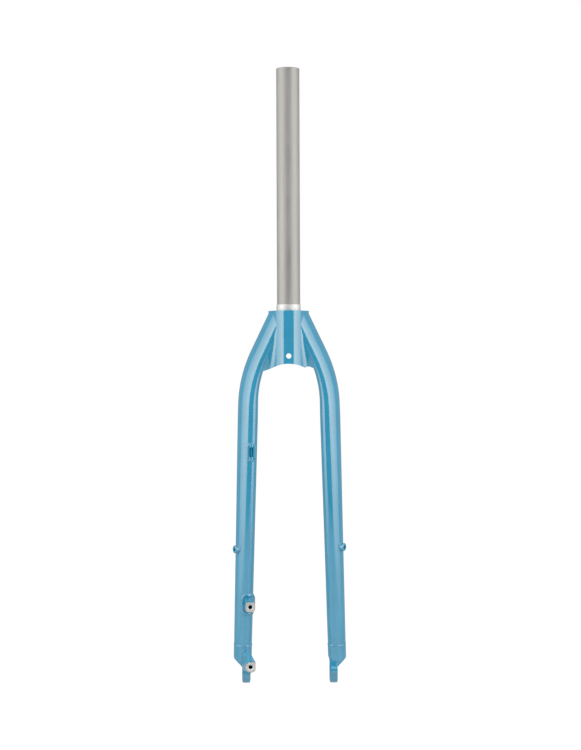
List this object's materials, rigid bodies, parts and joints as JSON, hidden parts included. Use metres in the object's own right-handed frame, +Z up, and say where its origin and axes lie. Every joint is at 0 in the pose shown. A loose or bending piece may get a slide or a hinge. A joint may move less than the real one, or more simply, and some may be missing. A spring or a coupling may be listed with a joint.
{
  "type": "rigid bicycle fork",
  "caption": "Rigid bicycle fork with a plain threadless steerer, a welded crown, bent oval blades, slotted fork ends, post mounts for a disc brake and threaded bosses.",
  "frame": {"origin": "on the steerer's axis, at the crown's flat top, where the headset race stops", "axes": "+Z up the steerer, +Y in the direction of travel, +X to the rider's right; the brake posts are on -X and face -Y"},
  "size_m": [0.142, 0.0805, 0.765],
  "materials": {
    "paint": "gloss",
    "steerer": "satin"
  },
  "bodies": {
    "root": {"steerer_tube": "steerer", "crown_tube": "paint", "left_blade": "paint", "right_blade": "paint", "left_blade_cap": "paint", "right_blade_cap": "paint", "left_crown_weld": "paint", "right_crown_weld": "paint", "left_fork_end": "paint", "right_fork_end": "paint", "left_fork_end_weld": "paint", "right_fork_end_weld": "paint", "upper_disc_post": "paint", "upper_disc_post_weld": "paint", "left_blade_boss": "paint", "right_blade_boss": "paint", "left_boss_weld": "paint", "right_boss_weld": "paint", "hose_guide": "paint", "hose_guide_welds": "paint"}
  },
  "joints": []
}
